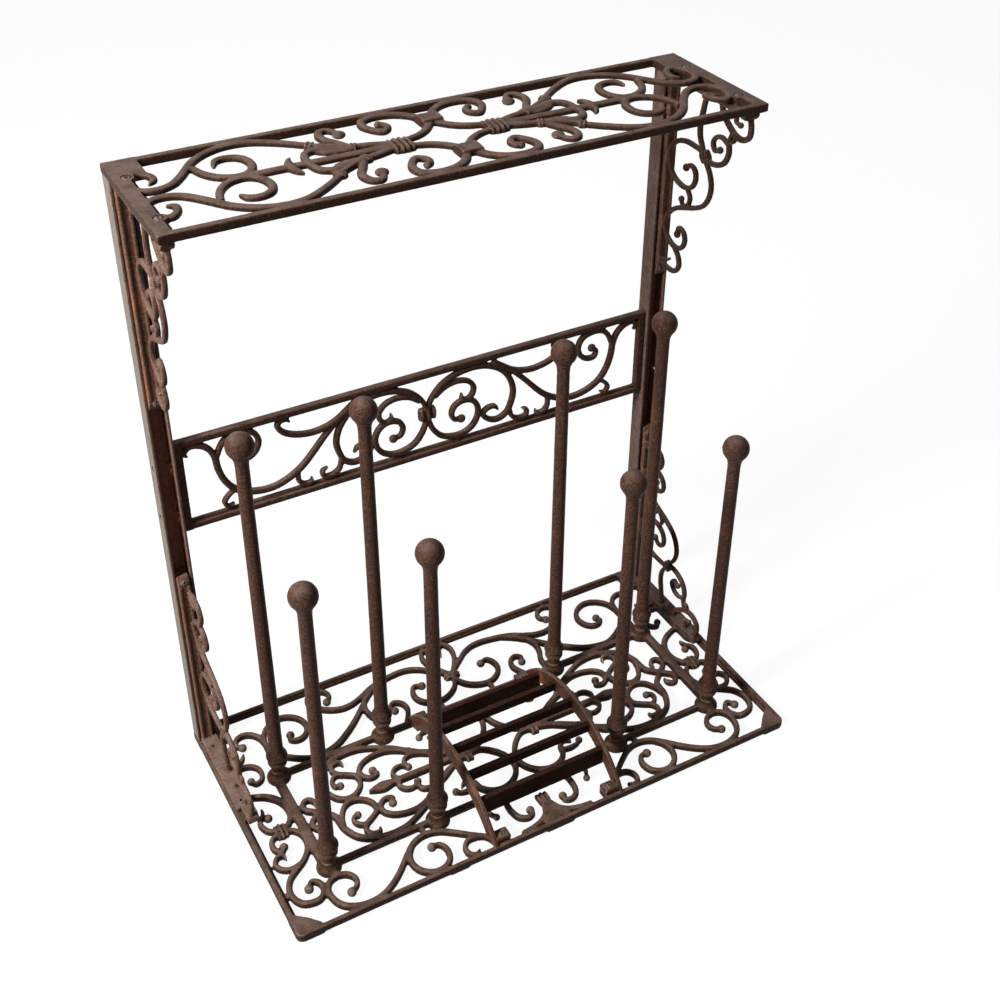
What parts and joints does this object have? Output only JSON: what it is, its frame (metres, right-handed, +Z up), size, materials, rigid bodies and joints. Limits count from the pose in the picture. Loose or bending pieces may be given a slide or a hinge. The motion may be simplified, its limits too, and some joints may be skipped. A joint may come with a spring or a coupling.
{
  "type": "boot rack",
  "caption": "Cast iron boot rack: scrollwork base, upright posts that hold boots upside down, arched boot scraper, channel uprights, scroll brackets, back panel and pierced top shelf.",
  "frame": {"origin": "on the floor under the middle of the base", "axes": "+Z up, +Y towards the back of the rack, +X to the right seen from the front"},
  "size_m": [0.66, 0.348, 0.775],
  "materials": {
    "cast_iron": "rusted brown, grainy cast surface",
    "upright_iron": "dark brown, lightly rusted",
    "worn_iron": "orange brown rust, worn by boots",
    "screw_steel": "dull brown steel"
  },
  "bodies": {
    "root": {"base_grate": "cast_iron", "top_shelf": "cast_iron", "back_panel": "cast_iron", "boot_scraper": "worn_iron", "post_rear_1": "cast_iron", "post_bolt_rear_1": "screw_steel", "post_rear_2": "cast_iron", "post_bolt_rear_2": "screw_steel", "post_rear_3": "cast_iron", "post_bolt_rear_3": "screw_steel", "post_rear_4": "cast_iron", "post_bolt_rear_4": "screw_steel", "post_front_1": "cast_iron", "post_bolt_front_1": "screw_steel", "post_front_2": "cast_iron", "post_bolt_front_2": "screw_steel", "post_front_3": "cast_iron", "post_bolt_front_3": "screw_steel", "post_front_4": "cast_iron", "post_bolt_front_4": "screw_steel", "upright_left": "upright_iron", "upper_bracket_left": "cast_iron", "lower_bracket_left": "cast_iron", "shelf_screw_left_front": "screw_steel", "base_screw_left_front": "screw_steel", "scraper_screw_left_front": "screw_steel", "shelf_screw_left_rear": "screw_steel", "base_screw_left_rear": "screw_steel", "scraper_screw_left_rear": "screw_steel", "bracket_screw_left_upper": "screw_steel", "panel_screw_left_upper": "screw_steel", "bracket_screw_left_lower": "screw_steel", "panel_screw_left_lower": "screw_steel", "upright_right": "upright_iron", "upper_bracket_right": "cast_iron", "lower_bracket_right": "cast_iron", "shelf_screw_right_front": "screw_steel", "base_screw_right_front": "screw_steel", "scraper_screw_right_front": "screw_steel", "shelf_screw_right_rear": "screw_steel", "base_screw_right_rear": "screw_steel", "scraper_screw_right_rear": "screw_steel", "bracket_screw_right_upper": "screw_steel", "panel_screw_right_upper": "screw_steel", "bracket_screw_right_lower": "screw_steel", "panel_screw_right_lower": "screw_steel"}
  },
  "joints": []
}
